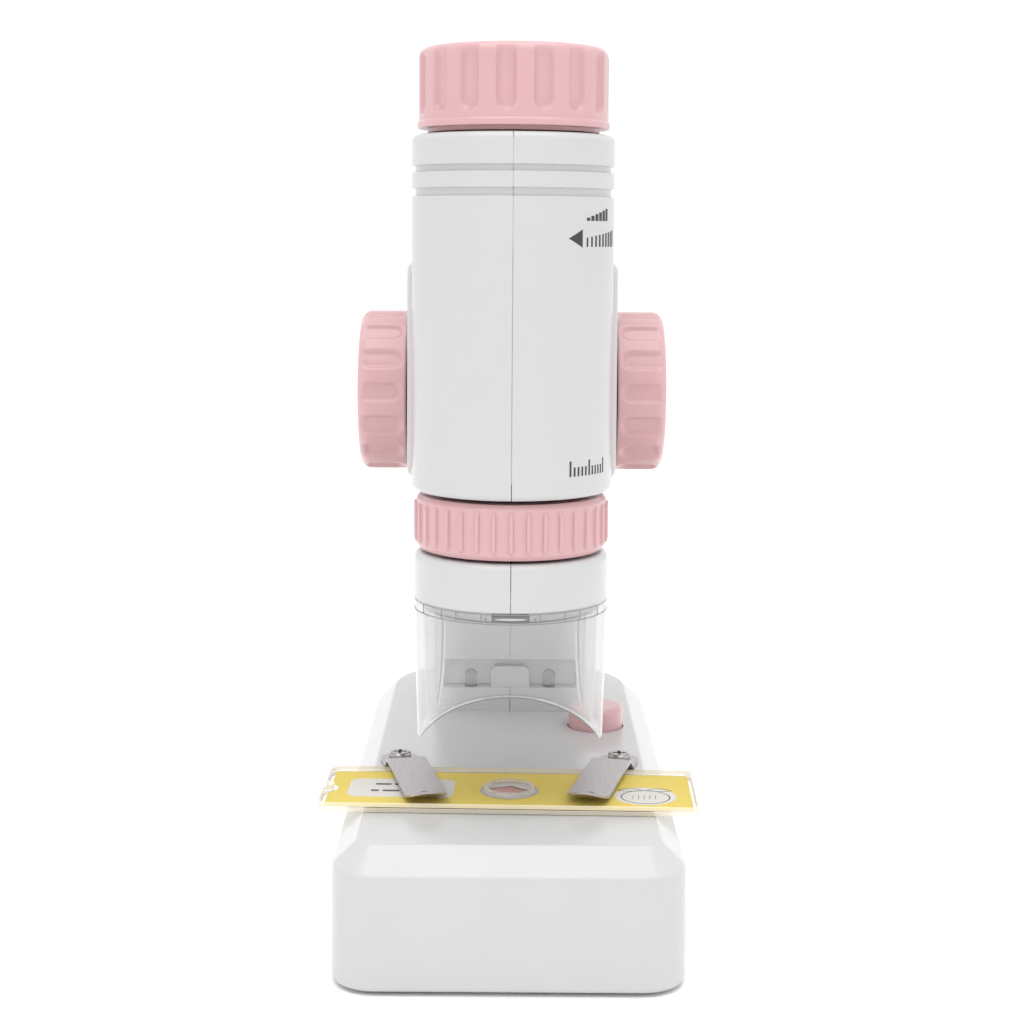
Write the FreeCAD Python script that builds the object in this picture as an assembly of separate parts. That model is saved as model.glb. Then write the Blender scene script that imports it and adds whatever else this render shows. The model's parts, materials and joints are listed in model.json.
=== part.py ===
import FreeCAD, Part
import math
import os

# Kids microscope: a pocket viewer held by a C-shaped arm on a lit base.
# Millimetres, +X right, +Y away from the user, +Z up.
# Every piece is drawn about the viewer's upright axis, x = 0 and y = 0.
# On export it moves so that the origin lies on the table under the middle of the base.

# ---- driving dimensions -------------------------------------------------------------------
table_z = -2.1               # underside of the rubber feet
foot_h = -1.3                # underside of the base
base_half = 33.6             # half width of the base
base_front = -35.6
base_rear = 121.4
base_top = 25.5
base_bevel = 4.8             # sloped band round the top of the base
front_corner_r = 8.5
rear_corner_r = 26.0
wall = 2.2
cover_top = 0.7              # inner face of the bottom cover

seam = 0.07                  # half of the gap between moulded halves
barrel_r = 20.1
barrel_z = (88.8, 159.3)
barrel_wall = 2.0
grooves = ((147.1, 148.8), (151.8, 153.2))
groove_depth = 0.65

cap_z = (160.5, 176.3)       # pink zoom knob
cap_r = (19.1, 18.8)         # at its foot and at its top
cap_flutes = 16
flute_turn = -4.7            # degrees from the front to the nearest flute

ring_z = (77.1, 88.0)        # pink focus ring
ring_r = 19.1
ring_ribs = 36

collar_z = (67.2, 76.5)
collar_r = 19.5
nose_tip_z = 39.0
nose_r = (18.8, 19.5)        # at the tips and at the collar
nose_wall = 1.9
arch_crown_z = 50.6
arch_half = 18.0             # half width of the arch at the tips
back_half = 15.3             # half width of the opening behind
back_top_z = 62.4

tube_r = (11.2, 12.6)        # fixed inner tube
sleeve_r = (13.1, 14.7)      # turning sleeves of the knob and the ring
press_gap = 0.03             # between pieces pressed or slipped together
pin_r = 1.0                  # pins that follow the cam slots
slot_half = 1.2
zoom_turn = 270.0            # degrees
zoom_lift = -8.0             # travel of the eyepiece carrier over that turn
zoom_pin_z = 154.0
focus_turn = 60.0            # degrees each way
focus_lift = 2.0             # travel of the objective carrier over that turn
focus_pin_z = 86.5

module = 0.8                 # rack and pinion
pinion_teeth = 12
pitch_r = module * pinion_teeth / 2
rack_root_y = 23.0
shaft_y = rack_root_y + 1.25 * module + pitch_r
shaft_z = 106.2
shaft_r = 2.0
rack_z = (92.4, 127.4)
rack_screw_z = (95.5, 124.5)

arm_half = 18.4
arm_front = 68.0
arm_rear = 104.0
arm_top = 134.0
head_half = 21.6
head_front = 8.0
head_rear = 46.0
head_bottom = 89.6
barrel_gap = 0.35            # between the viewer and the arm's fork

knob_r = 17.0                # coarse focus knobs
knob_x = (21.95, 32.2)
knob_flutes = 15
knob_phase = 2.7             # degrees from the front up to the nearest flute

slide_size = (75.5, 25.4)
slide_layer = 0.9
label_t = 0.1
slide_rest = base_top + 0.1
slide_top = slide_rest + 2 * slide_layer + label_t
slide_yaw = -1.6             # degrees, as the slide lies on the stage

clip_x = 23.8                # screws of the stage clips
clip_y = 25.0
clip_reach = 37.5            # from the screw to the tip
clip_width = 8.4
clip_t = 0.5
clip_turns = (12.2, -13.8)   # degrees, left clip and right clip

button_x = 20.0
button_y = 55.0
button_r = 6.3
button_top = 30.5

housing_screw_places = ((-26.5, -27.5), (26.5, -27.5), (-24.0, 99.0), (24.0, 99.0))
arm_screw_places = ((-11.5, 77.0), (11.5, 77.0), (-11.5, 97.5), (11.5, 97.5))
centre_y = (base_front + base_rear) / 2

X = FreeCAD.Vector(1, 0, 0)
Y = FreeCAD.Vector(0, 1, 0)
Z = FreeCAD.Vector(0, 0, 1)
O = FreeCAD.Vector(0, 0, 0)


# ---- small helpers ------------------------------------------------------------------------
def vec(x, y, z=0.0):
    return FreeCAD.Vector(x, y, z)


def box(x, y, z):
    """Block between the given pairs of coordinates."""
    return Part.makeBox(x[1] - x[0], y[1] - y[0], z[1] - z[0], vec(x[0], y[0], z[0]))


def rod(r, z, x=0.0, y=0.0):
    """Upright cylinder."""
    return Part.makeCylinder(r, z[1] - z[0], vec(x, y, z[0]))


def rod_x(r, x, y, z):
    return Part.makeCylinder(r, x[1] - x[0], vec(x[0], y, z), X)


def ring(outer, inner, z, x=0.0, y=0.0):
    return rod(outer, z, x, y).cut(rod(inner, (z[0] - 1, z[1] + 1), x, y))


def turned(points):
    """Solid of revolution about z from a closed outline of (radius, height) points."""
    loop = [vec(r, 0, z) for r, z in points]
    face = Part.Face(Part.makePolygon(loop + loop[:1]))
    return face.revolve(O, Z, 360)


def together(shapes):
    return shapes[0].fuse(shapes[1:]).removeSplitter()


def half(shape, side):
    """The moulded half on one side of the middle plane, less its part of the seam."""
    reach = 300.0
    near, far = sorted((side * seam, side * reach))
    return shape.common(box((near, far), (-reach, reach), (-reach, reach)))


def edges_at(shape, test):
    return [e for e in shape.Edges if test(e)]


def rounded(shape, radius, test):
    """Fillet the edges that pass the test."""
    return shape.makeFillet(radius, edges_at(shape, test))


def flat_at(e, height, slack=0.01):
    """True for an edge that lies level at a height."""
    return abs(e.BoundBox.ZMin - height) < slack and abs(e.BoundBox.ZMax - height) < slack


def spun(shape, degrees, axis=Z, about=O):
    out = shape.copy()
    out.rotate(about, axis, degrees)
    return out


def moved(shape, x=0.0, y=0.0, z=0.0):
    out = shape.copy()
    out.translate(vec(x, y, z))
    return out


def screw(head_r, head_h, shank_r, length):
    """Cross-head screw, head down at z = 0, shank pointing up."""
    body = together([rod(head_r, (0, head_h)), rod(shank_r, (0, head_h + length))])
    body = rounded(body, head_h * 0.45, lambda e: flat_at(e, 0))
    arm = head_r * 0.6
    slot = head_r * 0.13
    depth = head_h * 0.6
    deep = (-1, depth)
    cross = together([box((-arm, arm), (-slot, slot), deep), box((-slot, slot), (-arm, arm), deep)])
    return body.cut(cross)


# ---- base ---------------------------------------------------------------------------------
def base_plan(inset, z):
    """Face of the base's outline, drawn in by an inset, at a height."""
    w = base_half - inset
    y0 = base_front + inset
    y1 = base_rear - inset
    rf = front_corner_r - inset
    rr = rear_corner_r - inset
    k = math.sqrt(0.5)
    pts = [
        (vec(w, y0 + rf, z), None, vec(w, y1 - rr, z)),
        (vec(w, y1 - rr, z), vec(w - rr * (1 - k), y1 - rr * (1 - k), z), vec(w - rr, y1, z)),
        (vec(w - rr, y1, z), None, vec(rr - w, y1, z)),
        (vec(rr - w, y1, z), vec(rr * (1 - k) - w, y1 - rr * (1 - k), z), vec(-w, y1 - rr, z)),
        (vec(-w, y1 - rr, z), None, vec(-w, y0 + rf, z)),
        (vec(-w, y0 + rf, z), vec(rf * (1 - k) - w, y0 + rf * (1 - k), z), vec(rf - w, y0, z)),
        (vec(rf - w, y0, z), None, vec(w - rf, y0, z)),
        (vec(w - rf, y0, z), vec(w - rf * (1 - k), y0 + rf * (1 - k), z), vec(w, y0 + rf, z)),
    ]
    edges = []
    for start, middle, end in pts:
        curve = Part.LineSegment(start, end) if middle is None else Part.Arc(start, middle, end)
        edges.append(curve.toShape())
    return Part.Face(Part.Wire(edges))


def base_block(inset, z0, z1, bevel):
    block = base_plan(inset, z0).extrude(vec(0, 0, z1 - z0))
    return block.makeChamfer(bevel, edges_at(block, lambda e: flat_at(e, z1)))


def base_top_shell():
    outer = base_block(0, foot_h, base_top, base_bevel)
    outer = rounded(outer, 0.9, lambda e: flat_at(e, base_top) or flat_at(e, base_top - base_bevel))
    outer = rounded(outer, 0.8, lambda e: flat_at(e, foot_h))
    shell = outer.cut(base_block(wall, foot_h - 1, base_top - wall, base_bevel - 0.9))
    bosses = [rod(3.2, (cover_top + 0.2, base_top - wall + 0.5), x, y) for x, y in housing_screw_places]
    shell = together([shell] + bosses)
    holes = [rod(1.05, (foot_h, 16), x, y) for x, y in housing_screw_places]
    holes += [rod(1.7, (15, base_top + 1), x, y) for x, y in arm_screw_places]
    holes += [rod(1.05, (15, base_top + 1), side * clip_x, clip_y) for side in (-1, 1)]
    holes.append(rod(7.05, (15, base_top + 1)))
    holes.append(rod(button_r + 0.25, (15, base_top + 1), button_x, button_y))
    holes.append(box((-6, 6), (82, 92), (15, base_top + 1)))
    return shell.cut(holes)


door_x = 12.6
door_y = (43.2, 97.0)
door_screw_y = 92.6
cell_r = 5.25
cell_x = 6.2
cell_y = (44.5, 87.5)
cell_z = cover_top + 0.4 + cell_r


def base_bottom_cover():
    plate = base_plan(wall + 0.15, foot_h + 0.4).extrude(vec(0, 0, cover_top - foot_h - 0.4))
    holes = [rod(1.3, (foot_h, 6), x, y) for x, y in housing_screw_places]
    holes += [rod(2.7, (foot_h, foot_h + 1.5), x, y) for x, y in housing_screw_places]
    holes.append(box((-door_x, door_x), door_y, (foot_h, 6)))
    plate = plate.cut(holes)
    front = cell_y[0] - 2.3
    rear = cell_y[1] + 1.5
    side = door_x + 1.2
    long_way = (front - 1.2, rear + 1.2)
    rails = [box((x - 0.6, x + 0.6), long_way, (cover_top - 0.2, 12.0)) for x in (-side, side)]
    ends = [box((-side, side), (front - 1.2, front), (cover_top - 0.2, 12.0)),
            box((-side, side), (rear, rear + 1.2), (cover_top + 1.3, 12.0)),
            rod(2.6, (cover_top + 0.4, 9.0), 0, door_screw_y)]
    return together([plate] + rails + ends).cut(rod(0.8, (foot_h, 8.5), 0, door_screw_y))


def battery_door():
    gap = 0.25
    across = (gap - door_x, door_x - gap)
    door = box(across, (door_y[0] + gap, door_y[1] - gap), (foot_h + 0.4, cover_top - 0.4))
    door = rounded(door, 1.5, lambda e: abs(e.tangentAt(e.FirstParameter).z) > 0.9)
    tabs = [box((x - 2, x + 2), (door_y[1] - 1.5, door_y[1] + 1.6), (cover_top + 0.05, cover_top + 1.0))
            for x in (-9, 9)]
    necks = [box((x - 2, x + 2), (door_y[1] - 1.5, door_y[1] - gap), (cover_top - 0.6, cover_top + 1.0))
             for x in (-9, 9)]
    grips = [box((-7, 7), (y, y + 0.8), (foot_h + 0.1, foot_h + 0.7)) for y in (46, 48.4, 50.8, 53.2)]
    door = together([door] + tabs + necks + grips)
    return door.cut([rod(1.3, (foot_h, 6), 0, door_screw_y),
                     rod(2.5, (foot_h, foot_h + 1.25), 0, door_screw_y)])


def battery_door_screw():
    return moved(screw(2.2, 0.75, 0.78, 5.0), 0, door_screw_y, foot_h + 0.45)


def rubber_feet():
    places = [(-22, -24), (22, -24), (-20, 104), (20, 104)]
    feet = [rod(4.5, (table_z, foot_h + 0.4), x, y) for x, y in places]
    return Part.makeCompound([rounded(one, 0.35, lambda e: flat_at(e, table_z)) for one in feet])


def housing_screws():
    return Part.makeCompound([moved(screw(2.4, 1.0, 1.0, 10.0), x, y, foot_h + 0.45)
                              for x, y in housing_screw_places])


def batteries():
    cells = []
    for side in (-1, 1):
        body = Part.makeCylinder(cell_r, cell_y[1] - cell_y[0], vec(0, cell_y[0], 0), Y)
        tip_y = cell_y[1] if side < 0 else cell_y[0] - 0.9
        tip = Part.makeCylinder(1.9, 0.9, vec(0, tip_y, 0), Y)
        cells.append(moved(together([body, tip]), side * cell_x, 0, cell_z))
    return Part.makeCompound(cells)


def battery_contacts():
    """Two sprung end plates at the front and one joining plate at the rear."""
    plates = []
    for side in (-1, 1):
        x = side * cell_x
        plates.append(box((x - 4.2, x + 4.2), (cell_y[0] - 2.3, cell_y[0] - 1.9), (cover_top, cell_z + 3.0)))
    plates.append(box((-cell_x - 4.2, cell_x + 4.2), (cell_y[1] + 1.1, cell_y[1] + 1.5),
                      (cover_top + 1.3, cell_z + 3.0)))
    return Part.makeCompound(plates)


def lead_strips():
    """Stamped strips from the battery plates to the stage board and the button board."""
    start = cell_y[0] - 3.6
    left = box((-9.4, -7.4), (11.05, start), (cover_top, cover_top + 0.4))
    left = together([left, box((-9.4, -7.4), (11.05, 11.45), (cover_top, 9.6))])
    right = box((7.4, 9.4), (30.0, start), (cover_top, cover_top + 0.4))
    right = together([right, box((7.4, 24.0), (30.0, 32.0), (cover_top, cover_top + 0.4)),
                      box((22.0, 24.0), (30.0, 47.4), (cover_top, cover_top + 0.4)),
                      box((22.0, 24.0), (47.0, 47.4), (cover_top, 9.6))])
    return Part.makeCompound([left, right])


def stage_board():
    board = box((-11, 11), (-11, 11), (8.2, 9.8))
    posts = [rod(1.6, (cover_top, 8.2), x, y) for x in (-9, 9) for y in (-9, 9)]
    return together([board] + posts)


def led(z, body_r, height):
    """Domed lamp with a flange, standing up from a height."""
    body = together([rod(body_r + 0.5, (z, z + 1)), rod(body_r, (z, z + height - body_r)),
                     Part.makeSphere(body_r, vec(0, 0, z + height - body_r))])
    return body.common(box((-9, 9), (-9, 9), (z, z + height + 1)))


def stage_led():
    return led(9.8, 2.5, 7.5)


def light_cup():
    return turned([(3.3, 9.85), (4.3, 9.85), (6.9, 21.6), (6.9, 22.4), (5.9, 22.4), (5.9, 21.8)])


def stage_window():
    under = base_top - wall
    return together([rod(7.0, (under, base_top)), rod(8.2, (under - 0.8, under))])


def button_board():
    board = box((15.2, 27.5), (47.5, 62.5), (8.2, 9.8))
    posts = [rod(1.3, (cover_top, 8.2), x, y) for x in (16.8, 25.8) for y in (50, 60.5)]
    return together([board] + posts)


def button_switch():
    body = box((button_x - 3, button_x + 3), (button_y - 3, button_y + 3), (9.8, 13.3))
    return together([body, rod(1.6, (13.3, 14.4), button_x, button_y)])


def light_button():
    cap = rod(button_r, (19.5, button_top))
    cap = rounded(cap, 1.1, lambda e: flat_at(e, button_top))
    cap = together([cap, rod(button_r + 1.1, (21.4, base_top - wall - 0.3))])
    cap = cap.cut(rod(button_r - 1.6, (19, button_top - 1.8)))
    stem = rod(1.8, (16.2, button_top - 1.5))
    cap = together([cap, stem])
    return moved(cap, button_x, button_y)


# ---- arm ----------------------------------------------------------------------------------
throat_r = 28.0
throat_y = arm_front - throat_r
throat_z = head_bottom - throat_r
back_r = 48.0


def arm_outline(inset, bottom, inner_y):
    """Side outline of the arm, drawn in by an inset, as a face at x = 0."""
    k = math.sqrt(0.5)
    rt = throat_r + inset
    rb = back_r - inset
    by = arm_rear - back_r
    bz = arm_top - back_r
    front = arm_front + inset
    cut_z = throat_z + math.sqrt(rt ** 2 - (inner_y - throat_y) ** 2)
    a = math.atan2(cut_z - throat_z, inner_y - throat_y) / 2
    edges = [
        Part.LineSegment(vec(0, front, bottom), vec(0, front, throat_z)),
        Part.Arc(vec(0, front, throat_z),
                 vec(0, throat_y + rt * math.cos(a), throat_z + rt * math.sin(a)),
                 vec(0, inner_y, cut_z)),
        Part.LineSegment(vec(0, inner_y, cut_z), vec(0, inner_y, arm_top - inset)),
        Part.LineSegment(vec(0, inner_y, arm_top - inset), vec(0, by, arm_top - inset)),
        Part.Arc(vec(0, by, arm_top - inset), vec(0, by + rb * k, bz + rb * k), vec(0, by + rb, bz)),
        Part.LineSegment(vec(0, by + rb, bz), vec(0, by + rb, bottom)),
        Part.LineSegment(vec(0, by + rb, bottom), vec(0, front, bottom)),
    ]
    return Part.Face(Part.Wire([e.toShape() for e in edges]))


lamp_bay_half = 15.9
lamp_bay_z = (31.0, 38.0)
lamp_bay_rear = arm_front + 5.0


def arm_solid():
    """The whole arm with its fork, before it is parted down the middle."""
    column = arm_outline(0, base_top, throat_y).extrude(vec(arm_half, 0, 0))
    outer = [e for e in column.Edges
             if abs(e.BoundBox.XMin - arm_half) < 0.01 and abs(e.BoundBox.XMax - arm_half) < 0.01
             and e.BoundBox.ZMax > base_top + 0.5 and e.BoundBox.YMax > throat_y + 0.5]
    column = column.makeFillet(3.5, outer)
    head = box((0, head_half), (head_front, head_rear), (head_bottom, arm_top))
    head = rounded(head, 9.0, lambda e: e.BoundBox.XLength > 9 and e.BoundBox.YMin > head_rear - 0.01)
    head = rounded(head, 3.0, lambda e: e.BoundBox.XLength > 9 and e.BoundBox.YMax < head_front + 0.01)
    head = rounded(head, 1.6, lambda e: e.BoundBox.XMin > head_half - 0.01)
    plinth = box((0, arm_half + 1.0), (arm_front - 1.0, arm_rear + 1.0), (base_top, base_top + 1.0))
    plinth = rounded(plinth, 3.0, lambda e: e.BoundBox.XMin > arm_half and e.BoundBox.ZLength > 0.9)
    return together([column, head, plinth])


arm_joint_places = ((95.5, 45.0), (91.0, 93.0), (58.0, 122.0))


def arm_part():
    """Right half of the arm without its screw bores."""
    body = arm_solid()
    hollow = arm_outline(wall, base_top + 2.4, head_rear - 2).extrude(vec(arm_half - wall, 0, 0))
    cuts = [
        hollow,
        rod(barrel_r + barrel_gap, (head_bottom - 5, arm_top + 5)),
        box((-1, 5.3), (15, 21), (head_bottom - 5, arm_top + 5)),
        box((-1, 9.3), (rack_root_y - 2.3, rack_root_y + 0.3), (head_bottom - 5, arm_top + 5)),
        box((-1, 4.2), (rack_root_y, rack_root_y + 2.2), (head_bottom - 5, arm_top + 5)),
        rod_x(pitch_r + 1.8, (-1, 4.6), shaft_y, shaft_z),
        rod_x(shaft_r + 1.5, (17.0, 30), shaft_y, shaft_z),
        rod_x(shaft_r + 0.3, (-1, 30), shaft_y, shaft_z),
    ]
    bay = box((-1, lamp_bay_half), (arm_front - 2, lamp_bay_rear), lamp_bay_z)
    body = body.cut(cuts)
    surround = box((0, lamp_bay_half + 0.6), (arm_front + 0.5, lamp_bay_rear + 1.5),
                   (lamp_bay_z[0] - 1.6, lamp_bay_z[1] + 1.6))
    body = together([body, surround]).cut(bay)
    bosses = [rod(3.4, (base_top, base_top + 13), x, y) for x, y in arm_screw_places if x > 0]
    bosses += [rod_x(3.0, (0, arm_half - 1), y, z) for y, z in arm_joint_places]
    holes = [rod(1.2, (base_top - 1, base_top + 11), x, y) for x, y in arm_screw_places if x > 0]
    return together([body] + bosses).cut(holes + [bay])


def arm_right_half():
    bores = [rod_x(1.02, (-1, 10), y, z) for y, z in arm_joint_places]
    return half(arm_part().cut(bores), 1)


def arm_left_half():
    bores = [rod_x(1.2, (-30, 1), y, z) for y, z in arm_joint_places]
    bores += [rod_x(2.7, (-30, -9.0), y, z) for y, z in arm_joint_places]
    return half(arm_part().mirror(O, X).cut(bores), -1)


def arm_joint_screws():
    """Screws that draw the arm's halves together, sunk in the left side."""
    out = []
    for y, z in arm_joint_places:
        one = screw(2.4, 1.2, 1.0, 17.0)
        one.rotate(O, Y, 90)
        out.append(moved(one, -10.25, y, z))
    return Part.makeCompound(out)


def arm_screws():
    return Part.makeCompound([moved(screw(3.0, 1.2, 1.15, 9.0), x, y, base_top - wall - 1.25)
                              for x, y in arm_screw_places])


def lamp_board():
    return box((-lamp_bay_half + 0.1, lamp_bay_half - 0.1), (lamp_bay_rear - 1.0, lamp_bay_rear),
               (lamp_bay_z[0] + 0.1, lamp_bay_z[1] - 0.1))


def arm_lamps():
    """Two small clear lamps that stand in the bay either side of the tab."""
    lamps = []
    for x in (-9.4, 9.4):
        body = together([rod(1.5, (0, 2.6)), Part.makeSphere(1.5, vec(0, 0, 2.6))])
        body = body.common(box((-3, 3), (-3, 3), (0, 5)))
        lamps.append(moved(body, x, arm_front + 2.2, lamp_bay_z[0]))
    return Part.makeCompound(lamps)


def lamp_tab():
    tab = box((-4.6, 4.6), (arm_front + 1.0, lamp_bay_rear - 1.0), (lamp_bay_z[0], 36.0))
    return rounded(tab, 1.6, lambda e: e.BoundBox.YLength > 2 and e.BoundBox.ZMin > 35.5)


def shaft_bushes():
    bush = rod_x(shaft_r + 1.45, (17.05, head_half), shaft_y, shaft_z).cut(
        rod_x(shaft_r + 0.05, (16, 23), shaft_y, shaft_z))
    return Part.makeCompound([bush, bush.mirror(O, X)])


# ---- coarse focus drive -------------------------------------------------------------------
def pinion_shaft():
    return rod_x(shaft_r, (-29.5, 29.5), shaft_y, shaft_z)


def focus_pinion():
    """Straight-sided twelve-tooth pinion, with a tooth gap facing the rack's tooth."""
    root = pitch_r - 1.25 * module
    tip = pitch_r + module
    step = 2 * math.pi / pinion_teeth
    widths = ((root, 0.30), (pitch_r, 0.23), (tip, 0.10))
    points = []
    for i in range(pinion_teeth):
        middle = step * (i + 0.5)
        flank = [(r, middle - step * w) for r, w in widths]
        flank += [(r, middle + step * w) for r, w in reversed(widths)]
        points += [vec(-3.0, shaft_y - r * math.cos(a), shaft_z + r * math.sin(a)) for r, a in flank]
    gear = Part.Face(Part.makePolygon(points + points[:1])).extrude(vec(6.0, 0, 0))
    return gear.cut(rod_x(shaft_r + press_gap, (-5, 5), shaft_y, shaft_z))


def focus_rack():
    """Rack on the T-shaped slide that runs in the arm and is screwed to the viewer's back."""
    neck = box((-5.0, 5.0), (17.9, rack_root_y - 1.9), rack_z)
    flange = box((-9.0, 9.0), (rack_root_y - 2.0, rack_root_y), rack_z)
    pitch = math.pi * module
    first = shaft_z - pitch * math.floor((shaft_z - rack_z[0] - 1.5) / pitch)
    tip_half = 0.11 * pitch
    root_half = 0.32 * pitch
    tooth_tip = rack_root_y + 2.25 * module
    teeth = []
    count = int((rack_z[1] - 1.5 - first) / pitch) + 1
    for i in range(count):
        z = first + i * pitch
        outline = [vec(-3.5, rack_root_y - 0.2, z - root_half), vec(-3.5, tooth_tip, z - tip_half),
                   vec(-3.5, tooth_tip, z + tip_half), vec(-3.5, rack_root_y - 0.2, z + root_half)]
        teeth.append(Part.Face(Part.makePolygon(outline + outline[:1])).extrude(vec(7.0, 0, 0)))
    body = together([neck, flange] + teeth)
    holes = []
    for z in rack_screw_z:
        holes.append(Part.makeCylinder(1.1, 20, vec(0, 10, z), Y))
        holes.append(Part.makeCylinder(2.3, 10, vec(0, rack_root_y - 1.6, z), Y))
    return body.cut(holes)



def rack_screws():
    out = []
    for z in rack_screw_z:
        one = screw(2.1, 1.4, 1.0, 5.5)
        one.rotate(O, X, 90)
        out.append(moved(one, 0, rack_root_y - 0.1, z))
    return Part.makeCompound(out)


def coarse_knob_right():
    x0, x1 = knob_x
    body = rod_x(knob_r, (x0, x1), shaft_y, shaft_z)
    body = rounded(body, 2.2, lambda e: e.BoundBox.XMin > x1 - 0.01)
    body = rounded(body, 0.6, lambda e: e.BoundBox.XMax < x0 + 0.01)
    chord = 2.2
    cutter_r = 6.0
    reach = math.sqrt(knob_r ** 2 - chord ** 2) + math.sqrt(cutter_r ** 2 - chord ** 2)
    cutter = rod_x(cutter_r, (x0 - 3.1, x1 + 1), 0, 0)
    cutter = rounded(cutter, cutter_r - 0.1, lambda e: e.BoundBox.XMax < x0)
    flutes = []
    for i in range(knob_flutes):
        a = 2 * math.pi * (i + 0.5) / knob_flutes - math.radians(knob_phase)
        flutes.append(moved(cutter, 0, shaft_y + reach * math.cos(a), shaft_z + reach * math.sin(a)))
    body = body.cut(flutes)
    hollow = rod_x(knob_r - 2.6, (x0 - 1, x1 - 2.2), shaft_y, shaft_z).cut(
        rod_x(4.2, (x0 - 1, x1), shaft_y, shaft_z))
    return body.cut([hollow, rod_x(shaft_r + press_gap, (x0 - 1, 29.5), shaft_y, shaft_z)])


def coarse_knob_left():
    return coarse_knob_right().mirror(O, X)


# ---- viewer -------------------------------------------------------------------------------
def barrel_body():
    z0, z1 = barrel_z
    outer = [(barrel_r, z0), (barrel_r, grooves[0][0])]
    for lo, hi in grooves:
        outer += [(barrel_r, lo), (barrel_r - groove_depth, lo + 0.15)]
        outer += [(barrel_r - groove_depth, hi - 0.15), (barrel_r, hi)]
    outer = outer[:1] + outer[2:] + [(barrel_r, z1)]
    inner_r = barrel_r - barrel_wall
    inner = [(15.2, z1), (15.2, z1 - 2.0), (inner_r, z1 - 2.0), (inner_r, z0 + 2.0), (15.2, z0 + 2.0),
             (15.2, z0)]
    body = turned(outer + inner)
    body = rounded(body, 1.3, lambda e: flat_at(e, z1) and e.BoundBox.XLength > 2 * barrel_r - 0.1)
    body = rounded(body, 1.3, lambda e: flat_at(e, z0) and e.BoundBox.XLength > 2 * barrel_r - 0.1)
    ribs = [ring(inner_r + 0.5, tube_r[1] + 0.02, (z, z + 1.6)) for z in (102.0, 134.0)]
    pad = box((-8.5, 8.5), (15.3, 17.9), (rack_z[0] - 1, rack_z[1] + 1)).common(
        rod(barrel_r, barrel_z))
    body = together([body, pad] + ribs)
    seat = box((-5.0, 5.0), (17.9, 30), rack_z)
    bores = [Part.makeCylinder(1.02, 20, vec(0, 10, z), Y) for z in rack_screw_z]
    return body.cut([seat, rod(tube_r[1] + 0.02, (80, 165))] + bores)


def barrel_left_half():
    return half(barrel_body(), -1)


def barrel_right_half():
    return half(barrel_body(), 1)


def cam_slot(z, start, stop, rise):
    """Cutter of a sloping slot round a sleeve, with z and turn counted from the pin's place at rest."""
    steps = max(2, int(abs(stop - start) / 7.5))
    span = (stop - start) / steps
    mean_r = (sleeve_r[0] + sleeve_r[1]) / 2
    run = math.radians(abs(span)) * mean_r
    slope = math.degrees(math.atan2(rise / steps, math.radians(span) * mean_r))
    pieces = []
    for i in range(steps):
        a = start + span * (i + 0.5)
        cut = box((sleeve_r[0] - 1, sleeve_r[1] + 1), (-run * 0.62, run * 0.62), (-slot_half, slot_half))
        cut.rotate(O, X, slope)
        cut = spun(cut, a)
        pieces.append(moved(cut, 0, 0, z + rise * (i + 0.5) / steps))
    for a, dz in ((start, 0.0), (stop, rise)):
        end = rod_x(slot_half, (sleeve_r[0] - 1, sleeve_r[1] + 1), 0, 0)
        pieces.append(moved(spun(end, a), 0, 0, z + dz))
    return together(pieces)


def zoom_cam_sleeve():
    """Sleeve pressed into the zoom knob; its slot lifts and lowers the eyepiece carrier."""
    lo, hi = sleeve_r
    body = turned([(lo, 142.5), (hi, 142.5), (hi, 155.6), (16.6, 155.6), (16.6, 156.9), (hi, 156.9),
                   (hi, 166.0), (lo, 166.0)])
    return body.cut(cam_slot(zoom_pin_z, 0, -zoom_turn, zoom_lift))


def zoom_knob():
    z0, z1 = cap_z
    bore = sleeve_r[1] + press_gap
    body = turned([(bore, z0), (cap_r[0], z0), (cap_r[0], z0 + 1.2), (cap_r[0] - 0.35, z0 + 1.6),
                   (cap_r[1], z1), (9.6, z1), (9.0, 171.0), (6.5, 171.0), (6.5, 168.8), (bore, 168.8)])
    body = rounded(body, 1.7, lambda e: flat_at(e, z1) and e.BoundBox.XLength > 2 * cap_r[1] - 0.1)
    cutter_r = 2.8
    reach = cap_r[1] + 1.85
    flutes = []
    for i in range(cap_flutes):
        a = math.radians(-90 + flute_turn + 360.0 * i / cap_flutes)
        x = reach * math.cos(a)
        y = reach * math.sin(a)
        flutes.append(rod(cutter_r, (z0 + 5.3, z1 + 1), x, y))
        flutes.append(Part.makeSphere(cutter_r, vec(x, y, z0 + 5.3)))
    return body.cut(flutes)


def eyecup():
    return turned([(6.6, 171.05), (8.6, 171.05), (9.3, 175.6), (8.3, 175.6), (7.6, 172.2), (6.6, 172.2)])


def lens(radius, edge, bulge, z):
    """Biconvex lens standing on its axis, centred on z."""
    ball_r = (radius ** 2 + bulge ** 2) / (2 * bulge)
    lift = ball_r - bulge - edge / 2
    body = rod(radius, (z - edge / 2 - bulge - 1, z + edge / 2 + bulge + 1))
    for side in (-1, 1):
        ball = spun(Part.makeSphere(ball_r), 90, X)
        body = body.common(moved(ball, 0, 0, z + side * lift))
    return body


def eye_lens():
    return lens(6.5 - press_gap, 0.8, 0.9, 169.95)


def carrier(z, height, pin_z, bore):
    """Lens carrier that slides in the inner tube on one follower pin."""
    body = ring(tube_r[0] - 0.25, bore, (z, z + height))
    pin = rod_x(pin_r, (tube_r[0] - 2.0, sleeve_r[1] - 0.1), 0, pin_z)
    return together([body, pin])


def eyepiece_carrier():
    return carrier(zoom_pin_z - 6.0, 8.0, zoom_pin_z, 7.5).cut(
        rod(8.6, (zoom_pin_z - 7, zoom_pin_z - 4.2)))


def field_lens():
    return lens(8.6 - press_gap, 0.8, 0.9, zoom_pin_z - 4.95)


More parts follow.
